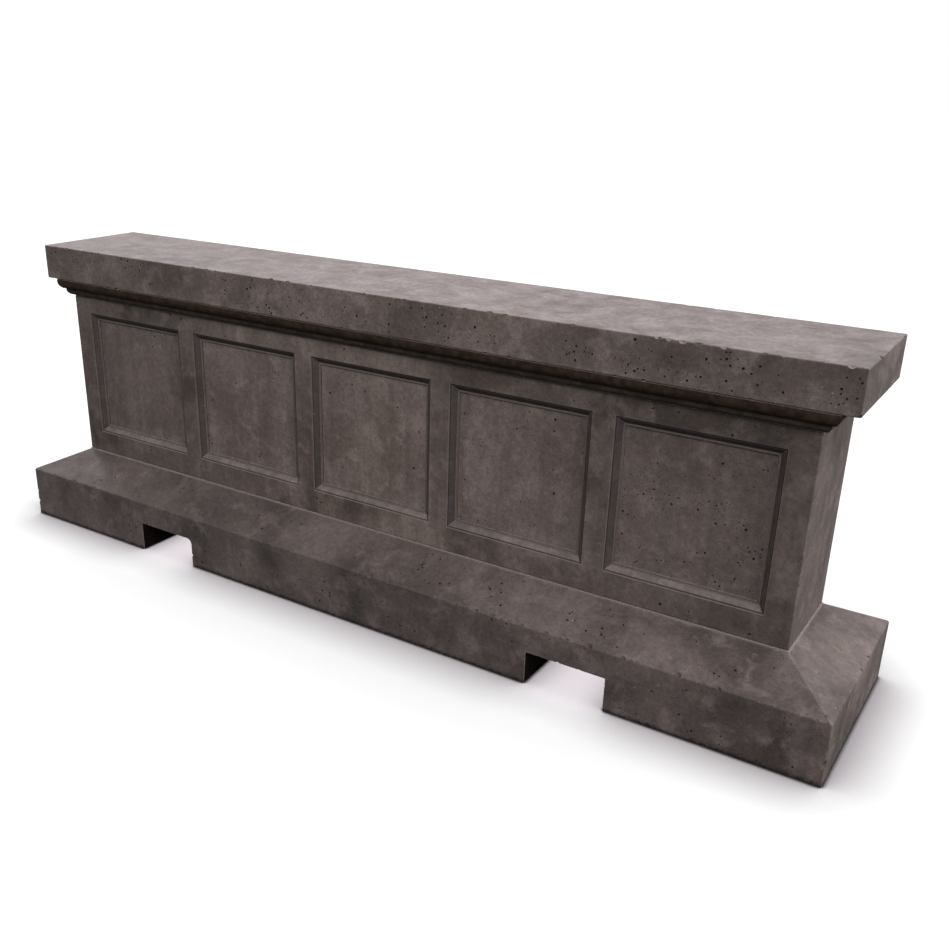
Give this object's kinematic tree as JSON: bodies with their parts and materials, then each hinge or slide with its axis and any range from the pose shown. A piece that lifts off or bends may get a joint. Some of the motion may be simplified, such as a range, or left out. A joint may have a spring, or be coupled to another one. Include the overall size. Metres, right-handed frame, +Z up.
{
  "type": "concrete jersey barrier",
  "caption": "Free-standing precast concrete barrier with a sloped plinth, fork pockets, sunk panels on both long faces, a bed mould and a plain overhanging coping.",
  "frame": {"origin": "middle of the footprint, on the ground", "axes": "+X along the barrier, +Y across it, +Z up; the panelled faces look along -Y and +Y"},
  "size_m": [2.44, 0.516, 0.84],
  "materials": {
    "cast_concrete": "dark grey precast concrete, fair-faced, with bug holes",
    "coping_concrete": "trowelled precast concrete, lighter on top",
    "bed_mortar": "pointed cement mortar",
    "dowel_grout": "poured non-shrink grout",
    "bar_steel": "hot-rolled reinforcing bar with mill scale and light rust",
    "galvanised_steel": "galvanised",
    "spacer_block": "cast mortar blocks",
    "wheel_plastic": "moulded polypropylene",
    "shim_plastic": "moulded plastic"
  },
  "bodies": {
    "root": {"plinth": "cast_concrete", "foot_bed": "bed_mortar", "wall": "cast_concrete", "mould_bed": "bed_mortar", "bed_mould": "cast_concrete", "coping_bed": "bed_mortar", "coping": "coping_concrete", "plinth_long_bars": "bar_steel", "plinth_hoops": "bar_steel", "pocket_trimmers": "bar_steel", "plinth_spacers": "spacer_block", "wall_long_bars": "bar_steel", "wall_hoops": "bar_steel", "wheel_spacers": "wheel_plastic", "foot_dowels": "bar_steel", "dowel_ducts": "galvanised_steel", "duct_grout": "dowel_grout", "coping_dowels": "bar_steel", "coping_dowel_grout": "dowel_grout", "coping_long_bars": "bar_steel", "coping_cross_bars": "bar_steel", "coping_spacers": "spacer_block", "foot_shims": "shim_plastic", "mould_shims": "shim_plastic", "coping_shims": "shim_plastic"}
  },
  "joints": []
}
